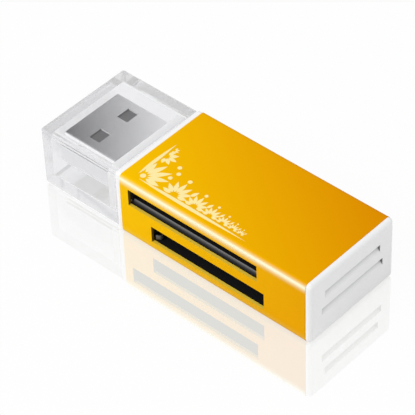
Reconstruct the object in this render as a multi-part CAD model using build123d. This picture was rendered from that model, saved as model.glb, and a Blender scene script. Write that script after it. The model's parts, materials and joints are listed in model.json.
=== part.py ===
"""Stick-shaped memory card reader: a plug under a clear cap, a metal sleeve and four card bays."""

import os
from dataclasses import dataclass

from build123d import *

# All sizes are in millimetres. X runs from the plug to the rear end, -Y is the front with the two
# large card slots, and +Z is up. The reader lies on the underside of its sleeve.

# Aluminium sleeve
sleeve_wall = 0.5
sleeve_edge_radius = 0.75

# Wide card, in the upper front slot
wide_card_width = 24.0
wide_card_thickness = 2.1
wide_card_corner = 4.0
wide_card_play = 0.15
wide_card_headroom = 0.2
wide_bay_depth = 9.8
wide_floor_thickness = 1.1
wide_slot_side = 0.2
wide_slot_rise = 0.05
wide_lead_in_drop = 0.65
wide_lead_in_run = 0.5
wide_lead_in_radius = 0.2

# Stick card, in the lower front slot
stick_card_width = 21.5
stick_card_thickness = 2.8
stick_card_play = 0.05
stick_card_headroom = 0.2
stick_bay_shift = 4.15
stick_ceiling_gap = 0.4
stick_lintel_depth = 1.5

# Micro card and mini stick card, side by side in the back face
micro_card_width = 11.0
micro_card_thickness = 1.0
mini_card_width = 12.5
mini_card_thickness = 1.2
small_card_play = 0.1
small_card_headroom = 0.2
small_bay_depth = 7.6
small_floor_thickness = 0.85
small_slot_side = 0.1
small_slot_rise = 0.1
micro_bay_shift = 0.6

# Card carrier below the board and card sockets above it, black mouldings that fill the sleeve
carrier_clearance = 0.1
carrier_end_gap = 0.2
carrier_end_wall = 0.6
carrier_roof = 1.4
carrier_floor = 1.05
carrier_back_wall = 0.7
bay_wall = 0.6
partition_wall = 1.2
pocket_wall = 0.7
pocket_bay_wall = 1.05
peg_diameter = 1.2
peg_reach = 0.5
peg_hole_clearance = 0.1
peg_boss_diameter = 2.6
peg_from_front_wall = 3.5
peg_from_rear_wall = 1.0
peg_from_front_face = 3.0
peg_from_stop = 0.8

# Circuit board between the carriers
board_thickness = 0.8
board_side_gap = 0.3
board_clearance = 0.05
board_plug_gap = 0.2
board_end_gap = 0.4
leg_slot_clearance = 0.1

# Leaf springs that touch the cards
spring_thickness = 0.15
spring_bend_radius = 0.3
spring_foot = 1.0
spring_window_clearance = 0.2
wide_spring_count = 9
wide_spring_pitch = 2.5
wide_spring_width = 0.9
wide_spring_shift = -0.55
wide_spring_arm = 3.0
wide_spring_tip = 0.8
wide_spring_tip_drop = 0.5
wide_spring_press = 0.45
wide_nose_setback = 2.8
stick_spring_count = 10
stick_spring_pitch = 1.5
stick_spring_width = 0.8
stick_spring_arm = 3.2
stick_spring_tip = 0.8
stick_spring_tip_drop = 0.4
stick_spring_press = 0.4
stick_nose_setback = 3.5
small_spring_arm = 2.8
small_spring_tip = 0.7
small_spring_tip_drop = 0.4
small_spring_press = 0.3
small_nose_setback = 2.0
small_spring_window_clearance = 0.15
micro_spring_count = 8
micro_spring_pitch = 1.1
micro_spring_width = 0.5
mini_spring_count = 11
mini_spring_pitch = 1.0
mini_spring_width = 0.45

# Card detect leaf in the end wall of the stick card's bay
leaf_height = 0.8
leaf_foot = 1.1
leaf_arm = 2.6
leaf_tip = 0.4
leaf_bulge = 1.45
leaf_tip_rise = 0.7
leaf_recess_depth = 0.5
leaf_recess_margin = 0.2
leaf_mouth_gap = 0.15

# Plug with a folded steel shell
plug_width = 12.0
plug_height = 4.5
plug_reach = 13.5
shell_thickness = 0.3
shell_corner_radius = 0.6
shell_tip_bevel = 0.12
shell_tail_gap = 0.1
shell_seam_gap = 0.12
latch_hole_length = 2.0
latch_hole_width = 2.5
latch_hole_spacing = 6.0
latch_hole_setback = 4.65
shell_leg_length = 1.8
tongue_thickness = 1.9
tongue_setback = 0.5
tongue_tip_bevel = 0.4
tongue_clearance = 0.05
base_length = 4.0
contact_width = 1.0
contact_thickness = 0.2
contact_rise = 0.05
contact_step = 0.2
contact_clearance = 0.03
contact_tail = 1.4
power_contact_spacing = 7.0
power_contact_setback = 1.5
data_contact_spacing = 2.0
data_contact_setback = 2.5

# White collar that carries the plug and the cap
collar_thickness = 1.05
collar_inset = 0.1
collar_edge_bevel = 0.2
collar_spigot_length = 1.0
neck_length = 2.4
neck_edge_radius = 0.3
plug_hole_clearance = 0.05

# Clear cap
cap_inset = 0.3
cap_side_wall = 1.5
cap_top_wall = 1.65
cap_end_wall = 1.5
cap_edge_radius = 0.5
cap_rim_bevel = 0.2
cap_seat_gap = 0.05
cap_neck_clearance = 0.12
cap_tip_gap = 0.35

# White end cap
end_thickness = 0.9
end_inset = 0.05
end_edge_radius = 0.7
end_spigot_length = 2.0
end_spigot_wall = 0.8
end_web = 0.3
spigot_clearance = 0.1
groove_height = 1.3
groove_depth = 0.75
upper_groove_length = 12.1
lower_groove_length = 13.4
upper_groove_rise = 2.7
lower_groove_drop = 0.3

# Parts on the circuit board
chip_width = 4.0
chip_thickness = 1.4
chip_standoff = 0.1
chip_edge_bevel = 0.15
chip_wall_gap = 0.65
chip_end_gap = 0.2
lead_count = 6
lead_pitch = 0.5
lead_width = 0.22
lead_thickness = 0.12
lead_shoulder = 0.25
lead_run = 0.25
lead_foot = 0.4
crystal_length = 5.0
crystal_width = 3.2
crystal_base_thickness = 0.7
crystal_lid_thickness = 0.35
crystal_lid_inset = 0.25
crystal_edge_radius = 0.4
crystal_bay_gap = 0.6
small_part_length = 1.6
small_part_width = 0.8
small_part_pitch = 1.3
small_part_edge_gap = 0.5
capacitor_thickness = 0.8
capacitor_count = 3
resistor_thickness = 0.45
resistor_count = 2
led_thickness = 0.6
led_lens_thickness = 0.25
led_lens_inset = 0.25

# Heights of the layers inside the sleeve, from the bottom up
carrier_bottom = sleeve_wall + carrier_clearance
stick_floor = carrier_bottom + carrier_floor
stick_ceiling = stick_floor + stick_card_thickness + stick_card_headroom
board_bottom = stick_ceiling + stick_ceiling_gap
board_top = board_bottom + board_thickness
wide_floor = board_top + board_clearance + wide_floor_thickness
wide_ceiling = wide_floor + wide_card_thickness + wide_card_headroom
carrier_top = wide_ceiling + carrier_roof
sleeve_height = carrier_top + carrier_clearance + sleeve_wall
middle_z = sleeve_height / 2
small_floor = board_top + board_clearance + small_floor_thickness
small_ceiling = small_floor + max(micro_card_thickness, mini_card_thickness) + small_card_headroom

# Plug heights, worked out from the contacts, which step up from the board to the tongue's underside
tail_top = board_top + contact_thickness
tongue_bottom = board_top + contact_step + contact_rise
tongue_top = tongue_bottom + tongue_thickness
plug_mid_z = tongue_top + shell_thickness - plug_height / 2

# Widths along Y
sleeve_width = wide_bay_depth + partition_wall + small_bay_depth
sleeve_face = sleeve_width / 2
carrier_face = sleeve_face - sleeve_wall - carrier_clearance
wide_stop = -sleeve_face + wide_bay_depth
partition_mid = wide_stop + partition_wall / 2
small_stop = wide_stop + partition_wall
stick_stop = carrier_face - carrier_back_wall
board_face = sleeve_face - sleeve_wall - spigot_clearance - end_spigot_wall - board_side_gap

# Sections of the cap, its cavity and the neck, from the outside inwards
cap_width = sleeve_width - 2 * cap_inset
cap_height = sleeve_height - 2 * cap_inset
cavity_width = cap_width - 2 * cap_side_wall
cavity_height = cap_height - 2 * cap_top_wall
neck_width = cavity_width - 2 * cap_neck_clearance
neck_height = cavity_height - 2 * cap_neck_clearance
cap_length = plug_reach - cap_seat_gap + cap_tip_gap + cap_end_wall

# Lengths along X, counted from the sleeve's front end and then centred
carrier_offset = collar_spigot_length + carrier_end_gap
wide_bay_offset = carrier_offset + carrier_end_wall
wide_bay_width = wide_card_width + 2 * wide_card_play
stick_bay_offset = wide_bay_offset + stick_bay_shift
stick_bay_width = stick_card_width + 2 * stick_card_play
micro_bay_offset = wide_bay_offset + micro_bay_shift
micro_bay_width = micro_card_width + 2 * small_card_play
mini_bay_offset = micro_bay_offset + micro_bay_width + bay_wall
mini_bay_width = mini_card_width + 2 * small_card_play
bays_length = max(
    wide_bay_offset + wide_bay_width,
    stick_bay_offset + stick_bay_width,
    mini_bay_offset + mini_bay_width,
)
lead_reach = lead_shoulder + lead_run + lead_foot
electronics_length = chip_wall_gap + chip_width + 2 * lead_reach + chip_end_gap + board_end_gap
sleeve_length = bays_length + bay_wall + electronics_length
overall_length = cap_length + cap_seat_gap + collar_thickness + sleeve_length + end_thickness

cap_end = -overall_length / 2
cap_rim = cap_end + cap_length
collar_face = cap_rim + cap_seat_gap
sleeve_start = collar_face + collar_thickness
sleeve_end = sleeve_start + sleeve_length
neck_tip = collar_face - neck_length
plug_tip = collar_face - plug_reach
carrier_start = sleeve_start + carrier_offset
carrier_end = sleeve_end - end_spigot_length - carrier_end_gap
electronics_start = sleeve_start + bays_length + bay_wall
shell_end = carrier_start - shell_tail_gap
board_start = shell_end + board_plug_gap
board_end = sleeve_end - board_end_gap

FRONT = -1
BACK = 1


@dataclass
class CardBay:
    """Room for one card. The mouth is in the front or the back face, and stop is the far end."""

    x_start: float
    width: float
    floor: float
    ceiling: float
    stop: float
    mouth: int
    slot_side: float = 0.0
    slot_drop: float = 0.0
    slot_rise: float = 0.0

    @property
    def x_end(self):
        return self.x_start + self.width

    @property
    def x_mid(self):
        return self.x_start + self.width / 2

    def y_span(self, stop):
        return sorted((self.mouth * sleeve_width, stop))

    def room(self):
        return block((self.x_start, self.x_end), self.y_span(self.stop), (self.floor, self.ceiling))

    def slot(self):
        x_span = (self.x_start - self.slot_side, self.x_end + self.slot_side)
        z_span = (self.floor - self.slot_drop, self.ceiling + self.slot_rise)
        return block(x_span, self.y_span(self.mouth * carrier_face), z_span)


@dataclass
class SpringRow:
    """Row of leaf springs across one bay, soldered to one face of the circuit board."""

    bay: CardBay
    count: int
    pitch: float
    width: float
    arm: float
    tip: float
    tip_drop: float
    press: float
    nose_setback: float
    window_clearance: float
    shift: float = 0.0
    on_top: bool = True

    def x_places(self):
        first = self.bay.x_mid + self.shift - self.pitch * (self.count - 1) / 2
        return [first + i * self.pitch for i in range(self.count)]

    def foot_y(self):
        nose = self.bay.stop + self.bay.mouth * self.nose_setback
        return nose + self.bay.mouth * (self.arm + spring_foot)

    def tip_y(self):
        return self.bay.stop + self.bay.mouth * (self.nose_setback - self.tip)

    def nose_height(self):
        if self.on_top:
            return self.bay.floor + self.press - board_top
        return board_bottom - self.bay.ceiling + self.press

    def profile(self):
        crest = self.nose_height() - spring_thickness
        nose = spring_foot + self.arm
        points = [(0, 0), (spring_foot, 0), (nose, crest), (nose + self.tip, crest - self.tip_drop)]
        return strip_profile(points, spring_thickness, (0, spring_bend_radius))

    def plane(self, x):
        inward = Vector(0, -self.bay.mouth, 0)
        away = Vector(0, 0, 1 if self.on_top else -1)
        height = board_top if self.on_top else board_bottom
        return Plane((x, self.foot_y(), height), x_dir=inward, z_dir=inward.cross(away))

    def springs(self):
        return [strip(self.plane(x), self.profile(), self.width) for x in self.x_places()]

    def windows(self):
        """Comb of openings in a bay's floor, one around each spring."""
        half = self.width / 2 + self.window_clearance
        ends = sorted((self.foot_y(), self.tip_y()))
        y_span = (ends[0] - self.window_clearance, ends[1] + self.window_clearance)
        z_span = (board_top, self.bay.floor)
        return [block((x - half, x + half), y_span, z_span) for x in self.x_places()]


def block(x_span, y_span, z_span):
    """Box between two limits on each axis."""
    spans = (x_span, y_span, z_span)
    middle = [(low + high) / 2 for low, high in spans]
    size = [high - low for low, high in spans]
    return Pos(*middle) * Box(*size)


def bar(x_span, width, height, radius, mid_z):
    """Bar along X with four rounded long edges."""
    section = Plane.YZ.offset(x_span[0]) * Pos(0, mid_z) * RectangleRounded(width, height, radius)
    return extrude(section, x_span[1] - x_span[0])


def post(place, diameter, z_span):
    """Upright round post, or the hole for one."""
    return extrude(Pos(*place, z_span[0]) * Circle(diameter / 2), z_span[1] - z_span[0])


def strip_profile(points, thickness, bend_radii):
    """Side view of a bent strip whose underside follows the points, with a radius for each bend."""
    path = FilletPolyline(*points, radius=bend_radii)
    outline = offset(path, thickness, kind=Kind.INTERSECTION, side=Side.LEFT)
    return make_face(outline.edges())


def strip(plane, profile, width):
    """Bent strip as wide as width, centred on the plane of its side view."""
    return extrude(plane * profile, width / 2, both=True)


def sleeve_inside(clearance):
    """Width, height and corner radius of what fits inside the sleeve."""
    gap = sleeve_wall + clearance
    return sleeve_width - 2 * gap, sleeve_height - 2 * gap, sleeve_edge_radius - gap


wide_bay = CardBay(
    x_start=sleeve_start + wide_bay_offset,
    width=wide_bay_width,
    floor=wide_floor,
    ceiling=wide_ceiling,
    stop=wide_stop,
    mouth=FRONT,
    slot_side=wide_slot_side,
    slot_drop=wide_lead_in_drop,
    slot_rise=wide_slot_rise,
)
stick_bay = CardBay(
    x_start=sleeve_start + stick_bay_offset,
    width=stick_bay_width,
    floor=stick_floor,
    ceiling=stick_ceiling,
    stop=stick_stop,
    mouth=FRONT,
)
micro_bay = CardBay(
    x_start=sleeve_start + micro_bay_offset,
    width=micro_bay_width,
    floor=small_floor,
    ceiling=small_ceiling,
    stop=small_stop,
    mouth=BACK,
    slot_side=small_slot_side,
    slot_drop=small_slot_rise,
    slot_rise=small_slot_rise,
)
mini_bay = CardBay(
    x_start=sleeve_start + mini_bay_offset,
    width=mini_bay_width,
    floor=small_floor,
    ceiling=small_ceiling,
    stop=small_stop,
    mouth=BACK,
    slot_side=small_slot_side,
    slot_drop=small_slot_rise,
    slot_rise=small_slot_rise,
)
card_bays = [wide_bay, stick_bay, micro_bay, mini_bay]

wide_springs = SpringRow(
    bay=wide_bay,
    count=wide_spring_count,
    pitch=wide_spring_pitch,
    width=wide_spring_width,
    arm=wide_spring_arm,
    tip=wide_spring_tip,
    tip_drop=wide_spring_tip_drop,
    press=wide_spring_press,
    nose_setback=wide_nose_setback,
    window_clearance=spring_window_clearance,
    shift=wide_spring_shift,
)
stick_springs = SpringRow(
    bay=stick_bay,
    count=stick_spring_count,
    pitch=stick_spring_pitch,
    width=stick_spring_width,
    arm=stick_spring_arm,
    tip=stick_spring_tip,
    tip_drop=stick_spring_tip_drop,
    press=stick_spring_press,
    nose_setback=stick_nose_setback,
    window_clearance=spring_window_clearance,
    on_top=False,
)
micro_springs = SpringRow(
    bay=micro_bay,
    count=micro_spring_count,
    pitch=micro_spring_pitch,
    width=micro_spring_width,
    arm=small_spring_arm,
    tip=small_spring_tip,
    tip_drop=small_spring_tip_drop,
    press=small_spring_press,
    nose_setback=small_nose_setback,
    window_clearance=small_spring_window_clearance,
)
mini_springs = SpringRow(
    bay=mini_bay,
    count=mini_spring_count,
    pitch=mini_spring_pitch,
    width=mini_spring_width,
    arm=small_spring_arm,
    tip=small_spring_tip,
    tip_drop=small_spring_tip_drop,
    press=small_spring_press,
    nose_setback=small_nose_setback,
    window_clearance=small_spring_window_clearance,
)

# Pegs that hold the board between the carriers
peg_hole_diameter = peg_diameter + 2 * peg_hole_clearance
front_peg = (carrier_start + peg_from_front_wall, wide_stop - peg_from_stop)
rear_peg = (electronics_start + peg_from_rear_wall, -carrier_face + peg_from_front_face)


def make_clear_cap():
    """Thick-walled cap, rounded all over and open towards the collar."""
    z_span = (middle_z - cap_height / 2, middle_z + cap_height / 2)
    cap = block((cap_end, cap_rim), (-cap_width / 2, cap_width / 2), z_span)
    rim = cap.faces().sort_by(Axis.X)[-1].edges()
    cap = fillet(cap.edges() - rim, cap_edge_radius)
    cap = chamfer(cap.faces().sort_by(Axis.X)[-1].edges(), cap_rim_bevel)
    cavity_span = (cap_end + cap_end_wall, cap_rim)
    cavity_radius = neck_edge_radius + cap_neck_clearance
    return cap - bar(cavity_span, cavity_width, cavity_height, cavity_radius, middle_z)


def make_sleeve():
    """Rectangular tube with two card slots in the front and two in the back."""
    span = (sleeve_start, sleeve_end)
    tube = bar(span, sleeve_width, sleeve_height, sleeve_edge_radius, middle_z)
    tube -= bar(span, *sleeve_inside(0), middle_z)
    for bay in card_bays:
        tube -= bay.slot()
    return tube


def make_front_collar():
    """Flange between cap and sleeve, with a neck for the cap and a spigot in the sleeve."""
    flange_width = sleeve_width - 2 * collar_inset
    flange_height = sleeve_height - 2 * collar_inset
    flange_radius = sleeve_edge_radius - collar_inset
    flange = bar((collar_face, sleeve_start), flange_width, flange_height, flange_radius, middle_z)
    flange = chamfer(flange.faces().sort_by(Axis.X)[0].edges(), collar_edge_bevel)
    collar = flange + bar((neck_tip, collar_face), neck_width, neck_height, neck_edge_radius, middle_z)
    spigot_span = (sleeve_start, sleeve_start + collar_spigot_length)
    collar += bar(spigot_span, *sleeve_inside(spigot_clearance), middle_z)
    hole_width = plug_width + 2 * plug_hole_clearance
    hole_height = plug_height + 2 * plug_hole_clearance
    hole_radius = shell_corner_radius + plug_hole_clearance
    return collar - bar((neck_tip, carrier_start), hole_width, hole_height, hole_radius, plug_mid_z)


def make_groove(length, top):
    """Finger groove across the rear face, square along its top and running out below."""
    face = sleeve_end + end_thickness
    wedge = make_face(
        Polyline(
            (face, top),
            (face - groove_depth, top),
            (face, top - groove_height),
            close=True,
        )
    )
    return extrude(Plane.XZ * wedge, length / 2, both=True)


def make_rear_end_cap():
    """Rounded end plate with two finger grooves and a hollow spigot in the sleeve."""
    half_width = sleeve_face - end_inset
    z_span = (end_inset, sleeve_height - end_inset)
    plate = block((sleeve_end, sleeve_end + end_thickness), (-half_width, half_width), z_span)
    inner_edges = plate.faces().sort_by(Axis.X)[0].edges()
    plate = fillet(plate.edges() - inner_edges, end_edge_radius)
    spigot_span = (sleeve_end - end_spigot_length, sleeve_end)
    plate += bar(spigot_span, *sleeve_inside(spigot_clearance), middle_z)
    width, height, radius = sleeve_inside(spigot_clearance)
    hollow_width = width - 2 * end_spigot_wall
    hollow_height = height - 2 * end_spigot_wall
    hollow_span = (sleeve_end - end_spigot_length, sleeve_end - end_web)
    plate -= bar(hollow_span, hollow_width, hollow_height, radius, middle_z)
    plate -= make_groove(upper_groove_length, middle_z + upper_groove_rise)
    return plate - make_groove(lower_groove_length, middle_z - lower_groove_drop)


def shell_leg_spans(side, clearance):
    """Limits of one solder leg of the shell, or of the slot that it passes through."""
    inner = plug_width / 2 - shell_thickness - clearance
    outer = plug_width / 2 + clearance
    y_span = sorted((side * inner, side * outer))
    return (shell_end, shell_end + shell_leg_length + clearance), y_span, (board_bottom, board_top)


def make_plug_shell():
    """Folded steel shell with latch holes above and below, a seam below and two solder legs."""
    span = (plug_tip, shell_end)
    shell = bar(span, plug_width, plug_height, shell_corner_radius, plug_mid_z)
    shell = chamfer(shell.faces().sort_by(Axis.X)[0].edges(), shell_tip_bevel)
    inner_width = plug_width - 2 * shell_thickness
    inner_height = plug_height - 2 * shell_thickness
    inner_radius = shell_corner_radius - shell_thickness
    shell -= bar(span, inner_width, inner_height, inner_radius, plug_mid_z)
    hole_x = plug_tip + latch_hole_setback
    for side in (FRONT, BACK):
        hole = Box(latch_hole_length, latch_hole_width, 2 * plug_height)
        shell -= Pos(hole_x, side * latch_hole_spacing / 2, plug_mid_z) * hole
    below = (plug_mid_z - plug_height, plug_mid_z)
    shell -= block(span, (-shell_seam_gap / 2, shell_seam_gap / 2), below)
    for side in (FRONT, BACK):
        shell += block(*shell_leg_spans(side, 0))
    return shell


def make_plug_contacts(spacing, setback, clearance=0.0):
    """Two contacts under the tongue, which step down in its base to tails on the circuit board."""
    start = plug_tip + tongue_setback + setback
    step = shell_end - base_length / 2 - start
    length = shell_end + contact_tail - start
    points = [(0, contact_step), (step, contact_step), (step + contact_step, 0), (length, 0)]
    profile = strip_profile(points, contact_thickness + clearance, (0, 0))
    contacts = []
    for side in (FRONT, BACK):
        plane = Plane((start, side * spacing / 2, board_top), x_dir=(1, 0, 0), z_dir=(0, -1, 0))
        contacts.append(strip(plane, profile, contact_width + 2 * clearance))
    return contacts


def make_plug_tongue():
    """Insulator with a full-height base and a tongue whose underside carries the contacts."""
    tongue_tip = plug_tip + tongue_setback
    width = plug_width - 2 * (shell_thickness + tongue_clearance)
    height = plug_height - 2 * shell_thickness - tongue_clearance
    radius = shell_corner_radius - shell_thickness
    tongue = bar((tongue_tip, shell_end), width, height, radius, tongue_top - height / 2)
    hollow_span = (tongue_tip, shell_end - base_length)
    tongue -= block(hollow_span, (-plug_width, plug_width), (tongue_top - plug_height, tongue_bottom))
    tip_edges = tongue.faces().sort_by(Axis.X)[0].edges()
    tongue = chamfer(tip_edges.sort_by(Axis.Z)[0], tongue_tip_bevel)
    for spacing, setback in (
        (power_contact_spacing, power_contact_setback),
        (data_contact_spacing, data_contact_setback),
    ):
        for channel in make_plug_contacts(spacing, setback, contact_clearance):
            tongue -= channel
    return tongue


def make_circuit_board():
    """Flat board with slots for the shell's legs and holes for the carrier's pegs."""
    board = block((board_start, board_end), (-board_face, board_face), (board_bottom, board_top))
    for side in (FRONT, BACK):
        board -= block(*shell_leg_spans(side, leg_slot_clearance))
    for place in (front_peg, rear_peg):
        board -= post(place, peg_hole_diameter, (board_bottom, board_top))
    return board


def carrier_blank(y_span, z_span):
    """Part of the space inside the sleeve, less a small clearance."""
    blank = bar((carrier_start, carrier_end), *sleeve_inside(carrier_clearance), middle_z)
    return blank & block((carrier_start, carrier_end), y_span, z_span)


def make_lead_in():
    """Wedge cut from the wide bay's floor, so that the card finds its way in."""
    front = -carrier_face
    corner = (front + wide_lead_in_run, wide_floor)
    wedge = make_face(
        Polyline(
            (front, wide_floor),
            corner,
            (front, wide_floor - wide_lead_in_drop),
            close=True,
        )
    )
    return extrude(Plane.YZ.offset(wide_bay.x_start) * wedge, wide_bay.width)


def make_upper_lid():
    """Roof of the bays above the board, thicker over the two small ones."""
    x_span = (carrier_start, carrier_end)
    lid = carrier_blank((-sleeve_face, sleeve_face), (small_ceiling, sleeve_height))
    return lid - block(x_span, (-sleeve_face, partition_mid), (small_ceiling, wide_ceiling))


def socket_blank(y_span, ceiling):
    """Blank of a card socket on the board, with room for the electronics and the plug's tails."""
    blank = carrier_blank(y_span, (board_top + board_clearance, ceiling))
    side = carrier_face - pocket_wall
    blank -= block((electronics_start, carrier_end), (-side, side), (board_top, ceiling))
    tail_reach = shell_end + contact_tail + carrier_end_gap
    tail_side = power_contact_spacing / 2 + contact_width
    tail_room = (board_top, tail_top + carrier_end_gap)
    return blank - block((carrier_start, tail_reach), (-tail_side, tail_side), tail_room)


def make_wide_card_socket():
    """Front moulding above the board, with a keyed corner and a lead-in for the wide card."""
    socket = socket_blank((-sleeve_face, partition_mid), wide_ceiling)
    room = wide_bay.room()
    key_edge = room.edges().filter_by(Axis.Z).group_by(Axis.Y)[-1].sort_by(Axis.X)[-1]
    socket -= chamfer(key_edge, wide_card_corner)
    socket -= make_lead_in()
    crest = (wide_bay.x_mid, -carrier_face + wide_lead_in_run, wide_floor)
    socket = fillet(socket.edges().filter_by(Axis.X).sort_by_distance(crest)[0], wide_lead_in_radius)
    for window in wide_springs.windows():
        socket -= window
    peg_socket = (board_top, board_top + peg_reach + peg_hole_clearance)
    return socket - post(front_peg, peg_hole_diameter, peg_socket)


def make_small_card_socket():
    """Back moulding above the board, with the micro card's bay and the mini card's bay."""
    socket = socket_blank((partition_mid, sleeve_face), small_ceiling)
    for bay in (micro_bay, mini_bay):
        socket -= bay.room()
    for window in micro_springs.windows() + mini_springs.windows():
        socket -= window
    return socket


def make_peg(place):
    """Boss under the board with a thin peg that stands through the board's hole."""
    boss = post(place, peg_boss_diameter, (stick_floor, board_bottom - board_clearance))
    return boss + post(place, peg_diameter, (stick_floor, board_top + peg_reach))


def leaf_recess_spans():
    """Limits of the recess in the stick bay's end wall that holds the card detect leaf."""
    length = leaf_foot + leaf_arm + leaf_tip + leaf_mouth_gap + leaf_recess_margin
    height = leaf_height + 2 * leaf_recess_margin
    x_span = (stick_bay.x_start - leaf_recess_depth, stick_bay.x_start)
    return x_span, (-carrier_face, -carrier_face + length), (stick_floor, stick_floor + height)


def make_card_detect_leaf():
    """Bowed leaf in the end wall of the stick bay, pushed back by a card."""
    x_span, y_span, z_span = leaf_recess_spans()
    bend = leaf_foot + leaf_arm
    points = [(0, 0), (leaf_foot, 0), (bend, leaf_bulge), (bend + leaf_tip, leaf_tip_rise)]
    profile = strip_profile(points, spring_thickness, (0, spring_bend_radius))
    start = (x_span[0], y_span[1] - leaf_recess_margin, sum(z_span) / 2)
    return strip(Plane(start, x_dir=(0, -1, 0), z_dir=(0, 0, 1)), profile, leaf_height)


def make_lower_carrier():
    """Moulding below the board with the stick bay, two pegs and room for parts."""
    top = board_bottom - board_clearance
    carrier = carrier_blank((-sleeve_face, sleeve_face), (0, top))
    side = carrier_face - pocket_wall
    pocket_end = stick_bay.x_start - pocket_bay_wall
    carrier -= block((carrier_start + pocket_wall, pocket_end), (-side, side), (stick_floor, top))
    carrier -= block((electronics_start, carrier_end), (-side, side), (stick_floor, top))
    carrier += make_peg(front_peg)
    carrier += make_peg(rear_peg)
    carrier -= stick_bay.room()
    x_span = (stick_bay.x_start, stick_bay.x_end)
    carrier -= block(x_span, (-carrier_face + stick_lintel_depth, stick_stop), (stick_ceiling, top))
    return carrier - block(*leaf_recess_spans())


def chip_middle():
    return board_end - chip_end_gap - lead_reach - chip_width / 2


def make_controller_chip():
    """Flat square package with bevelled edges."""
    z_low = board_top + chip_standoff
    half = chip_width / 2
    x = chip_middle()
    package = block((x - half, x + half), (-half, half), (z_low, z_low + chip_thickness))
    return chamfer(package.faces().sort_by(Axis.Z)[-1].edges(), chip_edge_bevel)


def make_controller_leads():
    """Bent leads on the four sides of the chip, each with its foot on the board."""
    shoulder = chip_standoff + chip_thickness / 2
    bend = lead_shoulder + lead_run
    points = [(0, shoulder), (lead_shoulder, shoulder), (bend, 0), (bend + lead_foot, 0)]
    profile = strip_profile(points, lead_thickness, (0, 0))
    leads = []
    up = Vector(0, 0, 1)
    for outward in (Vector(1, 0, 0), Vector(0, 1, 0), Vector(-1, 0, 0), Vector(0, -1, 0)):
        along = up.cross(outward)
        for i in range(lead_count):
            shift = (i - (lead_count - 1) / 2) * lead_pitch
            start = Vector(chip_middle(), 0, board_top) + outward * (chip_width / 2) + along * shift
            plane = Plane(start, x_dir=outward, z_dir=outward.cross(up))
            leads.append(strip(plane, profile, lead_width))
    return leads


def crystal_slab(inset, z_span):
    """Rounded slab of the crystal's outline, below the board."""
    x_mid = electronics_start + crystal_bay_gap + crystal_width / 2
    outline = RectangleRounded(crystal_width - 2 * inset, crystal_length - 2 * inset, crystal_edge_radius)
    return extrude(Pos(x_mid, 0, z_span[0]) * outline, z_span[1] - z_span[0])


def make_crystal_base():
    return crystal_slab(0, (board_bottom - crystal_base_thickness, board_bottom))


def make_crystal_lid():
    lid_top = board_bottom - crystal_base_thickness
    return crystal_slab(crystal_lid_inset, (lid_top - crystal_lid_thickness, lid_top))


def small_part(x, side, thickness):
    """Chip component with its length along Y, near one long edge of the board's top."""
    y = side * (board_face - small_part_edge_gap - small_part_length / 2)
    return Pos(x, y, board_top + thickness / 2) * Box(small_part_width, small_part_length, thickness)


def small_part_row(side, count, thickness):
    first = board_end - small_part_edge_gap - small_part_width / 2
    return [small_part(first - (i + 1) * small_part_pitch, side, thickness) for i in range(count)]


def make_activity_led():
    """Small lamp at the board's rear end, with a raised lens."""
    x = board_end - small_part_edge_gap - small_part_width / 2
    lamp = small_part(x, BACK, led_thickness)
    lens_size = (small_part_width - led_lens_inset, small_part_length - 2 * led_lens_inset)
    lens_foot = Pos(x, lamp.center().Y, board_top + led_thickness)
    return lamp + extrude(lens_foot * Rectangle(*lens_size), led_lens_thickness)


def main():
    nodes = {
        "clear_cap": make_clear_cap(),
        "sleeve": make_sleeve(),
        "front_collar": make_front_collar(),
        "rear_end_cap": make_rear_end_cap(),
        "plug_shell": make_plug_shell(),
        "plug_tongue": make_plug_tongue(),
        "plug_power_contacts": make_plug_contacts(power_contact_spacing, power_contact_setback),
        "plug_data_contacts": make_plug_contacts(data_contact_spacing, data_contact_setback),
        "circuit_board": make_circuit_board(),
        "upper_lid": make_upper_lid(),
        "wide_card_socket": make_wide_card_socket(),
        "small_card_socket": make_small_card_socket(),
        "lower_carrier": make_lower_carrier(),
        "wide_card_springs": wide_springs.springs(),
        "stick_card_springs": stick_springs.springs(),
        "micro_card_springs": micro_springs.springs(),
        "mini_card_springs": mini_springs.springs(),
        "card_detect_leaf": make_card_detect_leaf(),
        "controller_chip": make_controller_chip(),
        "controller_leads": make_controller_leads(),
        "crystal_base": make_crystal_base(),
        "crystal_lid": make_crystal_lid(),
        "capacitors": small_part_row(BACK, capacitor_count, capacitor_thickness),
        "resistors": small_part_row(FRONT, resistor_count, resistor_thickness),
        "activity_led": make_activity_led(),
    }
    os.makedirs("parts", exist_ok=True)
    for name, shape in nodes.items():
        solid = Compound(shape) if isinstance(shape, list) else shape
        export_step(solid, f"parts/{name}.step")


main()
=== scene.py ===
"""Looks of the memory card reader: materials, clear cap, printed corner, floor, light and camera."""

import json
import math

import bmesh
import bpy
from mathutils import Matrix, Quaternion, Vector


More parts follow.
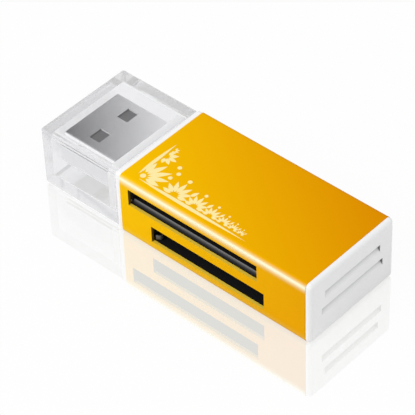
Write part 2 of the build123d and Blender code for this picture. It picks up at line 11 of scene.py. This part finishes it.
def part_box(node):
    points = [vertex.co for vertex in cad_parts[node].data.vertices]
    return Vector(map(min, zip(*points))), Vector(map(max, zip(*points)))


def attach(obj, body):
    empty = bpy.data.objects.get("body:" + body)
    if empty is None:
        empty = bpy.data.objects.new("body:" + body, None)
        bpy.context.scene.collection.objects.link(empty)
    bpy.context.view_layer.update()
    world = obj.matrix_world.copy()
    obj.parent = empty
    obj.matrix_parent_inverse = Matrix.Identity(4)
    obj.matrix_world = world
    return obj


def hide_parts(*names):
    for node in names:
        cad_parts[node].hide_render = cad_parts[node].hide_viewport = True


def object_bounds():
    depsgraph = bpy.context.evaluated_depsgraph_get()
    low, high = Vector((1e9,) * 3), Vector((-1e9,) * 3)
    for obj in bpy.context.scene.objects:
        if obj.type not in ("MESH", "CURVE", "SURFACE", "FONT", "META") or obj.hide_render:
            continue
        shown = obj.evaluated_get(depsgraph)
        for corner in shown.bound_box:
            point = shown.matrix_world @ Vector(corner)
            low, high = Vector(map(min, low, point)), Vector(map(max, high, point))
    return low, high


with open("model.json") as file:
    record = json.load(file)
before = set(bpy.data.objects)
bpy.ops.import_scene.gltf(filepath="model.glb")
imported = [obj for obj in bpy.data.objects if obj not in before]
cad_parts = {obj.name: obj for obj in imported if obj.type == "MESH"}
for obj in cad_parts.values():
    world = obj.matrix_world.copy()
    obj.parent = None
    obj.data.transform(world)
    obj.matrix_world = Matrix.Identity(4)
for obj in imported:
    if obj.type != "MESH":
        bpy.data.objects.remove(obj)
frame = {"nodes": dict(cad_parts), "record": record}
cad_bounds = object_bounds()
nodes = frame["nodes"]

MM = 0.001
UP = (0, 0, 1)
EVEN = (1, 1, 1)
ALONG_Y = (1, 0.1, 1)

# Detail of all grain, and the middle of its range, which most of it falls in
GRAIN_DETAIL = 3.0
GRAIN_LOW = 0.3
GRAIN_HIGH = 0.7

# Foot, crest and back of the slope at the mouth of the wide bay, where the black plastic has a painted
# highlight
LEAD_IN_HEIGHTS = (6.35 * MM, 6.95 * MM, 7.0 * MM, 7.1 * MM)

# Slant of the painted shade that deepens the gold across the sleeve
GOLD_SHADE_SLANT = 1.3

# Where the painted crease shade fades in along X, so that only the rear end has it, and how far the
# shade reaches
CREASES_START = 20 * MM
CREASES_END = 22 * MM
CREASE_REACH = 1.5 * MM

# Painted reflection over the plug's level faces: its direction, and where it runs from dark to bright
PLUG_REFLECTION_DIRECTION = (0.745, 0.667, 0)
PLUG_REFLECTION_START = -22 * MM
PLUG_REFLECTION_END = -7 * MM

# Clear cap, with the same sizes as its solid
CAP_WALL_SIDE = 1.5 * MM
CAP_WALL_TOP = 1.65 * MM
CAP_WALL_END = 1.5 * MM
CAP_EDGE_RADIUS = 0.5 * MM
CAP_RIM_RADIUS = 0.2 * MM
CAVITY_RADIUS = 0.42 * MM
EDGE_STEPS = 8
SHARP_ANGLE = math.radians(35)
SAME_POINT = 1e-7

# Bounces after which light that is caught in the cap meets a white glow, painted light that stands in
# for studio white
TRAPPED_BOUNCES = 7

# Print: its thickness, the steps of its curves, and how much fuller a leaf is near its base
INK_THICKNESS = 0.02 * MM
LEAF_STEPS = 8
LEAF_SKEW = 0.8

# A sprig's parts as shares of its reach
FAN_GAP = 0.22
FAN_WIDTH = 0.5
FAN_SHORTER = 0.3
TIP_DOT_PLACE = 1.2
TIP_DOT = 0.12
SIDE_LEAF_PLACE = (0.68, 0.45)
SIDE_LEAF_LENGTH = 0.5
SIDE_LEAF_WIDTH = 0.2

# Leaves of a sprig, the angle that they fill, and the slant of the leaf beside it
CORNER_LEAVES = 5
FRONT_LEAVES = 7
LEFT_LEAVES = 5
FRONT_SPREAD = math.radians(165)
LEFT_SPREAD = math.radians(150)
SIDE_LEAF_ANGLE = 1.2

# Printed corner on the top: places and reaches of its sprigs and dots, in millimetres
PRINT_LEFT = -7.3
PRINT_FRONT = -7.4
CORNER_REACH = 4.6
CORNER_DOT = 0.45
CORNER_DOT_INSET = 0.25
LOOSE_DOT = 0.35
FRONT_SPRIGS = ((-0.9, 3.0), (2.9, 2.4), (5.9, 1.9), (8.3, 1.5), (10.2, 1.15), (11.7, 0.85))
LEFT_SPRIGS = ((-1.9, 2.0), (-0.2, 0.9))
LOOSE_DOTS = ((-3.3, -3.6), (-4.1, -2.5), (-3.7, -5.0))
BORDER_WIDTH = 0.6
BORDER_INSET = 0.2
FRONT_BORDER = 20.4
LEFT_BORDER = 8.2

# Floor: half its width, its gap under the object, how white it looks, and what its gloss sends back
FLOOR_HALF = 1.0
FLOOR_GAP = 0.01 * MM
FLOOR_WHITE = 0.95
FLOOR_MIRROR = (0.27, 0.27, 0.3)

# Share of white that the dome of light gives
DOME_LEVEL = 0.45

# Soft lights: direction, distance, width, and the share of white they give a surface that faces them
LIGHTS = {
    "key_light": ((-0.25, -0.72, 0.65), 0.7, 0.35, 0.48),
    "rear_light": ((0.6, 0.2, 0.775), 0.6, 0.25, 0.25),
    "plug_light": ((-0.93, -0.15, 0.33), 0.6, 0.25, 0.16),
}

# Bounces that light may take, enough to cross the cap's walls
ALL_BOUNCES = 32
CLEAR_BOUNCES = 24

# Camera
VIEW_TARGET = Vector((0.396, -1.755, 5.65)) * MM
VIEW_AZIMUTH = math.radians(43.35)
VIEW_ELEVATION = math.radians(42.83)
VIEW_ROLL = math.radians(-2.22)
VIEW_DISTANCE = 348.26 * MM
LENS = 207.38
SENSOR = 36.0
NEAREST = 10 * MM
FURTHEST = 10.0


# Nodes

def add_node(material, kind, inputs, **settings):
    """Adds a node, sets its settings, and fills each input with a value or a link."""
    tree = material.node_tree
    node = tree.nodes.new(kind)
    for name, value in settings.items():
        setattr(node, name, value)
    for name, value in inputs.items():
        if isinstance(value, bpy.types.NodeSocket):
            tree.links.new(value, node.inputs[name])
        else:
            node.inputs[name].default_value = value
    return node


def new_material(name, **values):
    """Material with a principled shader. Value names use _ for a space."""
    material = bpy.data.materials.new(name)
    material.use_nodes = True
    shader = material.node_tree.nodes["Principled BSDF"]
    for key, value in values.items():
        shader.inputs[key.replace("_", " ")].default_value = value
    return material, shader


def link(material, value, node, socket):
    """Links an output to a node's input."""
    material.node_tree.links.new(value, node.inputs[socket])


def mix_shaders(material, factor, first, second):
    """First shader where the factor is 0, and the second where it is 1."""
    mix = add_node(material, "ShaderNodeMixShader", {"Fac": factor})
    link(material, first, mix, 1)
    link(material, second, mix, 2)
    return mix.outputs["Shader"]


def calculate(material, operation, first, second=0.0):
    """Result of a sum with one or two values."""
    node = add_node(material, "ShaderNodeMath", {0: first, 1: second}, operation=operation)
    return node.outputs["Value"]


def times(material, first, second):
    return calculate(material, "MULTIPLY", first, second)


def larger(material, first, second):
    return calculate(material, "MAXIMUM", first, second)


def ramp(material, value, start, end, first=0.0, last=1.0):
    """Runs from a first to a last value as another runs from start to end, and no further."""
    node = add_node(
        material,
        "ShaderNodeMapRange",
        {"Value": value, "From Min": start, "From Max": end, "To Min": first, "To Max": last},
    )
    return node.outputs["Result"]


def place_in_object(material, stretch=EVEN):
    """Object coordinates, stretched for grain that runs along one axis."""
    coordinates = add_node(material, "ShaderNodeTexCoord", {})
    mapping = add_node(
        material,
        "ShaderNodeMapping",
        {"Vector": coordinates.outputs["Object"], "Scale": stretch},
    )
    return mapping.outputs["Vector"]


def grain(material, size, stretch=EVEN):
    """Noise with features of about one size, in metres."""
    noise = add_node(
        material,
        "ShaderNodeTexNoise",
        {"Vector": place_in_object(material, stretch), "Scale": 1 / size, "Detail": GRAIN_DETAIL},
    )
    return noise.outputs["Fac"]


def spread(material, noise, low, high):
    """Maps the middle of a noise's range to a range of values."""
    return ramp(material, noise, GRAIN_LOW, GRAIN_HIGH, low, high)


def blend_colours(material, factor, first, second):
    """First colour where the factor is 0, and the second where it is 1."""
    mix = add_node(material, "ShaderNodeMix", {"Factor": factor}, data_type="RGBA")
    colour_inputs = [i for i in mix.inputs if i.type == "RGBA"]
    for socket, colour in zip(colour_inputs, (first, second)):
        if isinstance(colour, bpy.types.NodeSocket):
            material.node_tree.links.new(colour, socket)
        else:
            socket.default_value = (*colour, 1)
    return next(o for o in mix.outputs if o.type == "RGBA")


def roughen(material, shader, height, depth, strength):
    """Bump of a given depth, in metres."""
    bump = add_node(
        material,
        "ShaderNodeBump",
        {"Height": height, "Distance": depth, "Strength": strength},
    )
    link(material, bump.outputs["Normal"], shader, "Normal")


def along(material, direction, start, end):
    """Runs from 0 at start to 1 at end along a direction of the object."""
    distance = add_node(
        material,
        "ShaderNodeVectorMath",
        {0: place_in_object(material), 1: direction},
        operation="DOT_PRODUCT",
    )
    return ramp(material, distance.outputs["Value"], start, end)


def band(material, low, first_peak, last_peak, high):
    """Runs from 0 at a low height to 1 between two peaks, and back to 0 at a high one."""
    return times(material, along(material, UP, low, first_peak), along(material, UP, high, last_peak))


def turn_towards(material, axis):
    """Part of the surface's direction that lies along an axis."""
    geometry = add_node(material, "ShaderNodeNewGeometry", {})
    split = add_node(material, "ShaderNodeSeparateXYZ", {"Vector": geometry.outputs["Normal"]})
    return split.outputs[axis]


def facing(material, axis, start, end):
    """Runs from 0 to 1 as the surface turns towards an axis or away from it."""
    turn = calculate(material, "ABSOLUTE", turn_towards(material, axis))
    return ramp(material, turn, start, end)


def seen_rays(material):
    """Is 1 for what the camera sees, directly, in a mirror or through something clear."""
    path = add_node(material, "ShaderNodeLightPath", {})
    seen = path.outputs["Is Camera Ray"]
    for kind in ("Is Glossy Ray", "Is Transmission Ray"):
        seen = larger(material, seen, path.outputs[kind])
    return seen


# Materials

def make_grained(name, size, colours, roughness, stretch=EVEN, bump=None, **values):
    """Material with one grain in its colour and roughness, and in its surface where a bump is given."""
    material, shader = new_material(name, **values)
    fine = grain(material, size, stretch)
    link(material, blend_colours(material, fine, *colours), shader, "Base Color")
    link(material, spread(material, fine, *roughness), shader, "Roughness")
    if bump:
        roughen(material, shader, fine, *bump)
    return material


def make_gold_aluminium():
    """Satin anodised metal, lemon gold at the plug, with painted shade that deepens it towards the rear
    and low on its upright faces, a painted highlight under the top edges, and slot cut faces painted lit
    where level and shaded where they face along X.
    """
    material, shader = new_material("gold_aluminium", Specular_IOR_Level=0.0)
    low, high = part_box("sleeve")
    lemon_gold = (0.97, 0.555, 0.001)
    shaded_gold = (0.73, 0.265, 0.0)
    highlight_gold = (1.0, 0.96, 0.68)
    foot_shade_gold = (0.6, 0.6, 0.2)
    shaded_cut = (0.16, 0.1, 0.005)
    lit_cut = (1.0, 0.71, 0.075)
    # Painted shade: the gold deepens from lemon at the plug towards the rear
    start = low.x + GOLD_SHADE_SLANT * low.y
    end = high.x + GOLD_SHADE_SLANT * high.y
    painted_light_ramp = along(material, (1, GOLD_SHADE_SLANT, 0), start, end)
    colour = blend_colours(material, painted_light_ramp, lemon_gold, shaded_gold)

    # Painted highlight: a pale band on upright faces just under the top edges
    upright = facing(material, "Y", 0.3, 0.6)
    highlight_band = band(material, high.z - 2.0 * MM, high.z - 0.75 * MM, high.z - 0.5 * MM, high.z)
    painted_highlight = times(material, times(material, highlight_band, highlight_band), upright)
    colour = blend_colours(material, painted_highlight, colour, highlight_gold)

    # Painted shade: upright faces a little duller and darker towards the bottom, near the floor
    foot_shade = times(material, along(material, UP, low.z + 1.6 * MM, low.z + 0.6 * MM), upright)
    colour = blend_colours(material, times(material, foot_shade, 0.18), colour, foot_shade_gold)

    # Cut faces of the slots: painted light where they lie level, and painted shade where they face along
    # X
    walls = band(material, low.z + 0.1 * MM, low.z + 0.3 * MM, high.z - 0.3 * MM, high.z - 0.1 * MM)
    cut = times(material, walls, facing(material, "Y", 0.1, 0.02))
    level = facing(material, "Z", 0.3, 0.6)
    cut_light_and_shade = blend_colours(material, level, shaded_cut, lit_cut)
    colour = blend_colours(material, cut, colour, cut_light_and_shade)

    fine = grain(material, 0.08 * MM)
    link(material, colour, shader, "Base Color")
    link(material, ramp(material, cut, 0, 1, 0.15, 0.0), shader, "Metallic")
    link(material, spread(material, fine, 0.32, 0.4), shader, "Roughness")
    roughen(material, shader, fine, 0.004 * MM, 0.15)
    return material


def make_white_plastic():
    """Soft white moulding, with painted shade that greys the creases of the rear end, left off faces
    that turn down.
    """
    material, shader = new_material("white_plastic", IOR=1.5)
    bright_white = (0.95, 0.95, 0.95)
    soft_white = (0.93, 0.93, 0.935)
    crease_shade_grey = (0.22, 0.22, 0.23)
    cloud = grain(material, 6 * MM)
    unshaded_white = blend_colours(material, cloud, bright_white, soft_white)
    # Painted shade: creases turn grey by how closely the moulding's own surfaces close over them
    openness = add_node(
        material,
        "ShaderNodeAmbientOcclusion",
        {"Distance": CREASE_REACH},
        only_local=True,
    )
    open_share = ramp(material, openness.outputs["AO"], 0.45, 0.95)
    shaded = blend_colours(material, open_share, crease_shade_grey, unshaded_white)
    at_rear = along(material, (1, 0, 0), CREASES_START, CREASES_END)
    shaded = blend_colours(material, at_rear, unshaded_white, shaded)
    underside = ramp(material, turn_towards(material, "Z"), -0.2, -0.6)
    colour = blend_colours(material, underside, shaded, unshaded_white)
    fine = grain(material, 0.12 * MM)
    link(material, colour, shader, "Base Color")
    link(material, spread(material, fine, 0.26, 0.38), shader, "Roughness")
    roughen(material, shader, fine, 0.003 * MM, 0.1)
    return material


def make_plug_steel():
    """Rolled steel with a painted reflection that darkens its level faces towards the tip, a painted
    highlight along each long edge of its sides, and painted shade that darkens its ends.
    """
    material, shader = new_material("plug_steel")
    low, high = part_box("plug_shell")
    tip_reflection_grey = (0.105, 0.105, 0.11)
    root_reflection_grey = (0.82, 0.82, 0.83)
    side_grey = (0.9, 0.9, 0.91)
    highlight_white = (1.0, 1.0, 1.0)
    end_shade_grey = (0.05, 0.05, 0.052)
    # Painted reflection: the level faces run from dark grey at the tip to pale at the root
    painted_light_ramp = along(material, PLUG_REFLECTION_DIRECTION, PLUG_REFLECTION_START, PLUG_REFLECTION_END)
    level_reflection = blend_colours(material, painted_light_ramp, tip_reflection_grey, root_reflection_grey)

    # Painted highlight: the rolled bottom edge and the cut top edge of the sides are white and made matt
    rolled = along(material, UP, low.z + 0.9 * MM, low.z + 0.5 * MM)
    cut = along(material, UP, high.z - 0.5 * MM, high.z - 0.35 * MM)
    highlight_edges = larger(material, rolled, cut)
    side = blend_colours(material, highlight_edges, side_grey, highlight_white)
    # Painted shade: faces that turn along X are near black
    side = blend_colours(material, facing(material, "X", 0.4, 0.7), side, end_shade_grey)
    colour = blend_colours(material, facing(material, "Z", 0.75, 0.98), side, level_reflection)

    matt = times(material, highlight_edges, facing(material, "Z", 0.98, 0.75))
    streaks = grain(material, 0.15 * MM, stretch=(0.04, 1, 1))
    link(material, colour, shader, "Base Color")
    link(material, ramp(material, matt, 0, 1, 1.0, 0.1), shader, "Metallic")
    link(material, spread(material, streaks, 0.2, 0.26), shader, "Roughness")
    roughen(material, shader, streaks, 0.001 * MM, 0.08)
    return material


def make_black_plastic():
    """Black moulding with a painted highlight, paler towards the crest of the slope where the wide card
    slides in over the edge of its bay.
    """
    material, shader = new_material("black_plastic", IOR=1.5, Specular_IOR_Level=0.06)
    deep_black = (0.008, 0.008, 0.009)
    soft_black = (0.02, 0.02, 0.022)
    highlight_grey = (0.24, 0.24, 0.245)
    fine = grain(material, 0.1 * MM)
    colour = blend_colours(material, fine, deep_black, soft_black)
    # Painted highlight on the slope at the mouth of the wide bay, brightest at its crest
    edge = band(material, *LEAD_IN_HEIGHTS)
    highlight_band = times(material, times(material, edge, edge), facing(material, "Y", 0.3, 0.6))
    colour = blend_colours(material, times(material, highlight_band, edge), colour, highlight_grey)
    link(material, colour, shader, "Base Color")
    link(material, spread(material, fine, 0.5, 0.6), shader, "Roughness")
    roughen(material, shader, fine, 0.004 * MM, 0.2)
    return material


def make_clear_plastic():
    """Clear moulding with painted shade that greys the bottom of its end and back walls, which casts
    hardly any shadow, and which glows white where light stays caught in it.
    """
    material, shader = new_material("clear_plastic", IOR=1.49, Transmission_Weight=1.0)
    low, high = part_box("clear_cap")
    clear_tint = (0.945, 0.945, 0.955)
    shade_grey_tint = (0.57, 0.57, 0.58)
    deep_grey = (0.5, 0.5, 0.52, 1)
    studio_white = (0.92, 0.92, 0.93, 1)
    faint_shade = (0.97, 0.97, 0.97, 1)
    # Painted shade: the bottom of the end and back walls is tinted grey
    end_wall = low.x + CAP_WALL_END
    back_wall = high.y - CAP_WALL_SIDE
    in_end_wall = along(material, (1, 0, 0), end_wall, end_wall - 0.1 * MM)
    in_back_wall = along(material, (0, 1, 0), back_wall, back_wall + 0.1 * MM)
    foot_shade = along(material, UP, low.z + 0.2 * MM, low.z + 0.1 * MM)
    shaded_foot = times(material, foot_shade, larger(material, in_end_wall, in_back_wall))
    tint = blend_colours(material, shaded_foot, clear_tint, shade_grey_tint)
    swirl = grain(material, 5 * MM)
    link(material, tint, shader, "Base Color")
    link(material, spread(material, swirl, 0.02, 0.06), shader, "Roughness")

    path = add_node(material, "ShaderNodeLightPath", {})
    unseen = larger(material, path.outputs["Is Shadow Ray"], path.outputs["Is Diffuse Ray"])
    open_air = add_node(material, "ShaderNodeBsdfTransparent", {"Color": faint_shade})
    clear = mix_shaders(material, unseen, shader.outputs["BSDF"], open_air.outputs["BSDF"])
    # Painted light: past these bounces the cap glows white
    trapped = calculate(material, "GREATER_THAN", path.outputs["Ray Depth"], TRAPPED_BOUNCES)
    glow = add_node(material, "ShaderNodeEmission", {"Color": studio_white, "Strength": 1.0})
    surface = mix_shaders(material, trapped, clear, glow.outputs["Emission"])
    depth = add_node(material, "ShaderNodeVolumeAbsorption", {"Color": deep_grey, "Density": 16.0})
    output = material.node_tree.nodes["Material Output"]
    link(material, surface, output, "Surface")
    link(material, depth.outputs["Volume"], output, "Volume")
    return material


materials = {
    "clear_plastic": make_clear_plastic(),
    "gold_aluminium": make_gold_aluminium(),
    "white_plastic": make_white_plastic(),
    "plug_steel": make_plug_steel(),
    "black_plastic": make_black_plastic(),
    # Spring steel kept dark: painted shade for the leaf deep in its slot
    "spring_steel": make_grained(
        "spring_steel",
        0.15 * MM,
        ((0.13, 0.13, 0.135), (0.18, 0.18, 0.185)),
        (0.4, 0.5),
        stretch=ALONG_Y,
        Metallic=0.7,
    ),
    "insulator": make_grained(
        "insulator",
        0.1 * MM,
        ((0.06, 0.06, 0.063), (0.085, 0.085, 0.09)),
        (0.4, 0.55),
        IOR=1.5,
    ),
    "gold_plate": make_grained(
        "gold_plate",
        0.08 * MM,
        ((0.78, 0.66, 0.42), (0.7, 0.58, 0.36)),
        (0.18, 0.3),
        stretch=ALONG_Y,
        Metallic=1.0,
    ),
    "board_laminate": make_grained(
        "board_laminate",
        0.4 * MM,
        ((0.008, 0.12, 0.04), (0.014, 0.17, 0.06)),
        (0.25, 0.4),
        stretch=(1, 0.3, 1),
        IOR=1.5,
    ),
    "chip_resin": make_grained(
        "chip_resin",
        0.06 * MM,
        ((0.018, 0.018, 0.02), (0.035, 0.035, 0.038)),
        (0.5, 0.65),
        bump=(0.004 * MM, 0.3),
        IOR=1.5,
    ),
    "tinned_metal": make_grained(
        "tinned_metal",
        0.2 * MM,
        ((0.75, 0.75, 0.76), (0.62, 0.62, 0.64)),
        (0.22, 0.4),
        Metallic=1.0,
    ),
    "chip_ceramic": make_grained(
        "chip_ceramic",
        0.1 * MM,
        ((0.36, 0.24, 0.13), (0.46, 0.32, 0.18)),
        (0.35, 0.5),
        IOR=1.6,
    ),
    "lamp_lens": make_grained(
        "lamp_lens",
        0.3 * MM,
        ((0.9, 0.85, 0.7), (0.85, 0.78, 0.62)),
        (0.15, 0.3),
        IOR=1.5,
        Transmission_Weight=0.4,
    ),
}
pale_ink = make_grained(
    "pale_ink",
    0.2 * MM,
    ((1.0, 0.86, 0.39), (1.0, 0.82, 0.35)),
    (0.45, 0.6),
    IOR=1.45,
)
for part in frame["record"]["subparts"]:
    slots = nodes[part["node"]].material_slots
    slots[0].material = materials[part["material_slot"]]


# Pieces

def add_piece(name, mesh, body, material):
    """Links a mesh as a piece of the object that rides on a body."""
    piece = bpy.data.objects.new(name, mesh)
    bpy.context.scene.collection.objects.link(piece)
    mesh.materials.append(material)
    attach(piece, body)
    return piece


def quarter_turn():
    """Angles of a rounded edge, from 0 to a right angle."""
    return [step * math.pi / 2 / EDGE_STEPS for step in range(EDGE_STEPS + 1)]


def rounded_loop(x, half_width, half_height, radius, middle_z):
    """Points of a rounded rectangle across X, one rounded corner after the other."""
    points = []
    for quarter in range(4):
        side_y = 1 if quarter in (0, 3) else -1
        side_z = 1 if quarter in (0, 1) else -1
        centre_y = side_y * (half_width - radius)
        centre_z = side_z * (half_height - radius)
        for turn in quarter_turn():
            angle = quarter * math.pi / 2 + turn
            y = centre_y + radius * math.cos(angle)
            z = middle_z + centre_z + radius * math.sin(angle)
            points.append(Vector((x, y, z)))
    return points


def loft(name, loops):
    """Closed mesh through loops of the same number of points, flat at both ends."""
    mesh = bpy.data.meshes.new(name)
    form = bmesh.new()
    rings = [[form.verts.new(point) for point in loop] for loop in loops]
    for first, second in zip(rings, rings[1:]):
        count = len(first)
        for i in range(count):
            j = (i + 1) % count
            form.faces.new((first[i], first[j], second[j], second[i]))
    form.faces.new(reversed(rings[0]))
    form.faces.new(rings[-1])
    bmesh.ops.remove_doubles(form, verts=form.verts, dist=SAME_POINT)
    bmesh.ops.recalc_face_normals(form, faces=form.faces)
    form.to_mesh(mesh)
    form.free()
    mesh.shade_smooth()
    mesh.set_sharp_from_angle(angle=SHARP_ANGLE)
    return mesh


def make_cap():
    """Clear cap, from its rounded end over its rim to the bottom of its cavity."""
    low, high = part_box("clear_cap")
    half_width = (high.y - low.y) / 2
    half_height = (high.z - low.z) / 2
    middle_z = (high.z + low.z) / 2
    outside = []
    for angle in quarter_turn():
        inset = CAP_EDGE_RADIUS * (1 - math.sin(angle))
        outside.append((low.x + CAP_EDGE_RADIUS * (1 - math.cos(angle)), inset))
    for angle in quarter_turn():
        inset = CAP_RIM_RADIUS * (1 - math.cos(angle))
        outside.append((high.x - CAP_RIM_RADIUS * (1 - math.sin(angle)), inset))
    loops = []
    for x, inset in outside:
        radius = CAP_EDGE_RADIUS - inset
        loops.append(rounded_loop(x, half_width - inset, half_height - inset, radius, middle_z))
    inner_width = half_width - CAP_WALL_SIDE
    inner_height = half_height - CAP_WALL_TOP
    for x in (high.x, low.x + CAP_WALL_END):
        loops.append(rounded_loop(x, inner_width, inner_height, CAVITY_RADIUS, middle_z))
    mesh = loft("clear_cap_shell", loops)
    cap = add_piece("clear_cap_shell", mesh, "cap", materials["clear_plastic"])
    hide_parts("clear_cap")


def leaf_outline(base, angle, length, width):
    """Pointed leaf that starts at its base and lies along an angle."""
    sides = []
    for side in (1, -1):
        points = []
        for step in range(LEAF_STEPS + 1):
            share = step / LEAF_STEPS
            bulge = side * width / 2 * math.sin(math.pi * share ** LEAF_SKEW)
            x = share * length * math.cos(angle) - bulge * math.sin(angle)
            y = share * length * math.sin(angle) + bulge * math.cos(angle)
            points.append((base[0] + x, base[1] + y))
        sides.append(points)
    return sides[1] + sides[0][-2:0:-1]


def dot_outline(centre, radius):
    """Round dot."""
    turns = [step * math.pi / LEAF_STEPS for step in range(2 * LEAF_STEPS)]
    return [(centre[0] + radius * math.cos(t), centre[1] + radius * math.sin(t)) for t in turns]


def fan_outlines(base, angle, reach, count, spread_angle):
    """Leaves that spread around one point, the middle one longest."""
    gap = FAN_GAP * reach
    width = FAN_WIDTH * reach * spread_angle / (count - 1)
    outlines = []
    for i in range(count):
        offset = (i / (count - 1) - 0.5) * spread_angle
        length = (reach - gap) * (1 - FAN_SHORTER * (2 * offset / spread_angle) ** 2)
        turn = angle + offset
        start = (base[0] + gap * math.cos(turn), base[1] + gap * math.sin(turn))
        outlines.append(leaf_outline(start, turn, length, width))
    return outlines


def corner_outlines():
    """Sprigs along two sides of a corner, in millimetres, smaller away from the corner."""
    up = math.pi / 2
    left, front = PRINT_LEFT, PRINT_FRONT
    outlines = fan_outlines((left, front), up / 2, CORNER_REACH, CORNER_LEAVES, up)
    corner = (left + CORNER_DOT_INSET, front + CORNER_DOT_INSET)
    outlines.append(dot_outline(corner, CORNER_DOT))
    for x, reach in FRONT_SPRIGS:
        outlines += fan_outlines((x, front), up, reach, FRONT_LEAVES, FRONT_SPREAD)
        outlines.append(dot_outline((x, front + TIP_DOT_PLACE * reach), TIP_DOT * reach))
        beside = (x + SIDE_LEAF_PLACE[0] * reach, front + SIDE_LEAF_PLACE[1] * reach)
        length = SIDE_LEAF_LENGTH * reach
        width = SIDE_LEAF_WIDTH * reach
        outlines.append(leaf_outline(beside, SIDE_LEAF_ANGLE, length, width))
    for y, reach in LEFT_SPRIGS:
        outlines += fan_outlines((left, y), 0.0, reach, LEFT_LEAVES, LEFT_SPREAD)
    front_start = (left + BORDER_INSET, front - BORDER_WIDTH)
    left_start = (left - BORDER_WIDTH, front + BORDER_INSET)
    outlines.append(leaf_outline(front_start, 0.0, FRONT_BORDER, BORDER_WIDTH))
    outlines.append(leaf_outline(left_start, up, LEFT_BORDER, BORDER_WIDTH))
    outlines += [dot_outline(centre, LOOSE_DOT) for centre in LOOSE_DOTS]
    return outlines


def make_print():
    """Flat shapes of ink on the sleeve's top, each a little higher than the one before."""
    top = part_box("sleeve")[1].z
    mesh = bpy.data.meshes.new("corner_print")
    form = bmesh.new()
    outlines = corner_outlines()
    for order, outline in enumerate(outlines):
        height = INK_THICKNESS * (0.5 + 0.5 * order / len(outlines))
        upper = [form.verts.new((x * MM, y * MM, top + height)) for x, y in outline]
        lower = [form.verts.new((x * MM, y * MM, top - INK_THICKNESS)) for x, y in outline]
        form.faces.new(upper)
        form.faces.new(reversed(lower))
        for i in range(len(outline)):
            j = (i + 1) % len(outline)
            form.faces.new((lower[i], lower[j], upper[j], upper[i]))
    bmesh.ops.recalc_face_normals(form, faces=form.faces)
    form.to_mesh(mesh)
    form.free()
    add_piece("corner_print", mesh, "reader", pale_ink)


# Stage

def make_floor():
    """White floor with a faint mirror image, which keeps a little of the object's shadow."""
    mesh = bpy.data.meshes.new("floor")
    form = bmesh.new()
    bmesh.ops.create_grid(form, x_segments=1, y_segments=1, size=FLOOR_HALF)
    form.to_mesh(mesh)
    form.free()
    floor = bpy.data.objects.new("floor", mesh)
    floor.location.z = cad_bounds[0][2] - FLOOR_GAP
    bpy.context.scene.collection.objects.link(floor)
    material = bpy.data.materials.new("floor_white")
    material.use_nodes = True
    tree = material.node_tree
    tree.nodes.clear()
    output = tree.nodes.new("ShaderNodeOutputMaterial")
    paper_white = (0.85, 0.85, 0.85, 1)
    paper = add_node(material, "ShaderNodeBsdfDiffuse", {"Color": paper_white})
    rest = [1 - share for share in FLOOR_MIRROR]
    white = add_node(material, "ShaderNodeEmission", {"Color": (*rest, 1), "Strength": 1.0})
    gloss = add_node(material, "ShaderNodeBsdfGlossy", {"Color": (*FLOOR_MIRROR, 1), "Roughness": 0.02})
    sheet = add_node(material, "ShaderNodeAddShader", {})
    link(material, white.outputs["Emission"], sheet, 0)
    link(material, gloss.outputs["BSDF"], sheet, 1)
    seen_share = times(material, seen_rays(material), FLOOR_WHITE)
    lit = mix_shaders(material, seen_share, paper.outputs["BSDF"], sheet.outputs["Shader"])
    link(material, lit, output, "Surface")
    mesh.materials.append(material)


def make_world():
    """White where it is seen, and a dimmer dome of light on the object."""
    world = bpy.data.worlds.new("studio")
    bpy.context.scene.world = world
    world.use_nodes = True
    background = world.node_tree.nodes["Background"]
    background.inputs["Color"].default_value = (1, 1, 1, 1)
    link(world, ramp(world, seen_rays(world), 0, 1, DOME_LEVEL, 1.0), background, "Strength")


def make_light(name, direction, distance, width, level):
    """Square soft light that only lights, and isn't seen itself."""
    middle = Vector((0, 0, (cad_bounds[0][2] + cad_bounds[1][2]) / 2))
    light = bpy.data.lights.new(name, "AREA")
    light.shape = "SQUARE"
    light.size = width
    light.energy = level * (math.pi * distance) ** 2
    lamp = bpy.data.objects.new(name, light)
    towards = Vector(direction).normalized()
    lamp.location = middle + distance * towards
    upright = towards.cross(Vector((1, 0, 0))).normalized()
    sideways = upright.cross(towards)
    lamp.rotation_euler = Matrix((sideways, upright, towards)).transposed().to_euler()
    bpy.context.scene.collection.objects.link(lamp)
    lamp.visible_camera = False
    lamp.visible_glossy = False
    lamp.visible_transmission = False


def make_camera():
    """Camera at the photograph's viewing angle."""
    camera = bpy.data.cameras.new("camera")
    camera.lens = LENS
    camera.sensor_width = SENSOR
    camera.clip_start = NEAREST
    camera.clip_end = FURTHEST
    eye = bpy.data.objects.new("camera", camera)
    flat = math.cos(VIEW_ELEVATION)
    right = flat * math.sin(VIEW_AZIMUTH)
    forward = flat * math.cos(VIEW_AZIMUTH)
    towards = Vector((right, -forward, math.sin(VIEW_ELEVATION)))
    eye.location = VIEW_TARGET + VIEW_DISTANCE * towards
    eye.rotation_mode = "QUATERNION"
    eye.rotation_quaternion = (-towards).to_track_quat("-Z", "Y") @ Quaternion(UP, VIEW_ROLL)
    bpy.context.scene.collection.objects.link(eye)
    bpy.context.scene.camera = eye


make_cap()
make_print()
for name, values in LIGHTS.items():
    make_light(name, *values)
make_floor()
make_world()
make_camera()
bpy.context.scene.view_settings.view_transform = "Standard"
bpy.context.scene.cycles.max_bounces = ALL_BOUNCES
bpy.context.scene.cycles.glossy_bounces = CLEAR_BOUNCES
bpy.context.scene.cycles.transmission_bounces = CLEAR_BOUNCES
